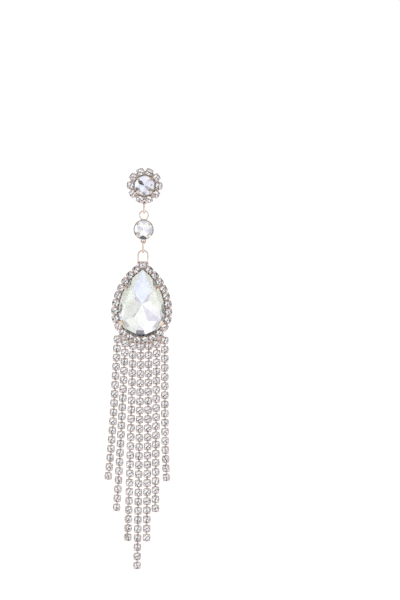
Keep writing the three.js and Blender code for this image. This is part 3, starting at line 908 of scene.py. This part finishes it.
pearLoops = [pearLoop(0, pearForm["fineSteps"])]
pear = cutSheet("pearStone", pearLoops, pearStone["top"] - pearStone["base"], pearStone["base"])
cutFacets(pear, pearFacets(pearStone))
backingLoops = [pearLoop(-backingForm["inset"], pearForm["fineSteps"])]
backing = cutSheet("pearBacking", backingLoops, pearStone["girdle"] - backingForm["pearBase"],
                   backingForm["pearBase"])
cutFacets(backing, [(azimuth, pearSlope(azimuth, pearStone["girdle"] - pearStone["low"]),
                     (*edgeOfPear(azimuth), pearStone["girdle"]), "back")
                    for azimuth in pearStone["crown"] + pearStone["rim"]])
finishBacking(backing, pear, "pear_stone", "drop", dropPlace)
finishStone(pear, "pear_stone", "drop", dropPlace)
print("main stones cut")

# the studio, with its sizes and places in metres. The floor is a white painted board, matt and even, which
# glows a little so that its edge doesn't show
board = {"size": 2.4, "place": (0, -0.85, -0.15), "grainMm": 3, "low": "FAFAFA", "high": "FDFDFD",
         "roughness": 0.9, "glow": 0.42}


def makeBoard():
    material, tree = newMaterial("whiteBoard")
    place = addNode(tree, "ShaderNodeTexCoord").outputs["Object"]
    grain = addNode(tree, "ShaderNodeTexNoise", {"Scale": 1 / (board["grainMm"] * mm)}, {"Vector": place})
    tone = addNode(tree, "ShaderNodeMix",
                   {"data_type": "RGBA", mixFrom: colour(board["low"]), mixTo: colour(board["high"])},
                   {mixShare: grain.outputs["Fac"]})
    shader = addNode(tree, "ShaderNodeBsdfPrincipled",
                     {"Roughness": board["roughness"], "Emission Color": (1, 1, 1, 1),
                      "Emission Strength": board["glow"]},
                     {"Base Color": tone.outputs[mixResult]})
    finishMaterial(tree, shader)
    return material


bpy.ops.mesh.primitive_plane_add(size=board["size"], location=board["place"])
floor = setMaterials(newest("floor"), makeBoard())

# a white light tent with a few dark openings and grey edges at its sides, which draw the outlines of polished
# metal. They are seen in reflections and through the glass: past the object the camera sees plain white paper
tent = {"white": "FFFFFF", "dark": "36363C", "grey": "8C8C92", "strength": 0.98, "patchSize": 2.2,
        "patchFrom": 0.56, "patchTo": 0.6, "edge": 0.05, "edgeSoft": 0.3, "paper": (1.1, 1.1, 1.1, 1)}
world = bpy.data.worlds.new("studio")
bpy.context.scene.world = world
world.use_nodes = True
tree = world.node_tree
direction = addNode(tree, "ShaderNodeTexCoord").outputs["Generated"]
cloud = addNode(tree, "ShaderNodeTexNoise", {"Scale": tent["patchSize"], "Detail": 1.0},
                {"Vector": direction})
patch = addNode(tree, "ShaderNodeMapRange", {"From Min": tent["patchFrom"], "From Max": tent["patchTo"]},
                {"Value": cloud.outputs["Fac"]})
across = addNode(tree, "ShaderNodeSeparateXYZ", {}, {"Vector": direction})
depth = addNode(tree, "ShaderNodeMath", {"operation": "ABSOLUTE"}, {0: across.outputs["Y"]})
edge = addNode(tree, "ShaderNodeMapRange",
               {"From Min": tent["edge"], "From Max": tent["edgeSoft"], "To Min": 1.0, "To Max": 0.0},
               {"Value": depth.outputs[0]})
cloth = addNode(tree, "ShaderNodeMix",
                {"data_type": "RGBA", mixFrom: colour(tent["white"]), mixTo: colour(tent["grey"])},
                {mixShare: edge.outputs["Result"]})
tone = addNode(tree, "ShaderNodeMix", {"data_type": "RGBA", mixTo: colour(tent["dark"])},
               {mixShare: patch.outputs["Result"], mixFrom: cloth.outputs[mixResult]})
ray = addNode(tree, "ShaderNodeLightPath")
seen = addNode(tree, "ShaderNodeMix", {"data_type": "RGBA", mixTo: tent["paper"]},
               {mixShare: ray.outputs["Is Camera Ray"], mixFrom: tone.outputs[mixResult]})
tree.links.new(seen.outputs[mixResult], tree.nodes["Background"].inputs["Color"])
tree.nodes["Background"].inputs["Strength"].default_value = tent["strength"]

lights = [  # name, place, size in metres, power in watts
    ("topBox", (-0.15, -0.85, 0.4), 0.8, 0.5),
    ("sideBox", (0.8, -0.5, 0.1), 0.4, 0.6),
]
lightAim = Vector((0, 0, -0.035))
for name, place, size, power in lights:
    lamp = bpy.data.lights.new(name, "AREA")
    lamp.shape = "SQUARE"
    lamp.size = size
    lamp.energy = power
    lampObject = bpy.data.objects.new(name, lamp)
    bpy.context.collection.objects.link(lampObject)
    lampObject.location = place
    lampObject.rotation_euler = (lightAim - Vector(place)).to_track_quat("-Z", "Y").to_euler()

# distance in metres, place and frame height in millimetres, roll in degrees
cameraForm = {"distance": 1.1, "x": 16.4, "z": -31.9, "frameHeight": 169.8, "sensor": 36, "roll": 1.35}
camera = bpy.data.cameras.new("camera")
camera.lens = cameraForm["sensor"] * cameraForm["distance"] / (cameraForm["frameHeight"] * mm)
cameraObject = bpy.data.objects.new("camera", camera)
bpy.context.collection.objects.link(cameraObject)
cameraPlace = (cameraForm["x"] * mm, -cameraForm["distance"], cameraForm["z"] * mm)
cameraObject.matrix_world = Matrix.Translation(cameraPlace) @ upright @ turnedBy(cameraForm["roll"], "Z")
bpy.context.scene.camera = cameraObject
bpy.context.scene.view_settings.view_transform = "Standard"
print("studio ready")
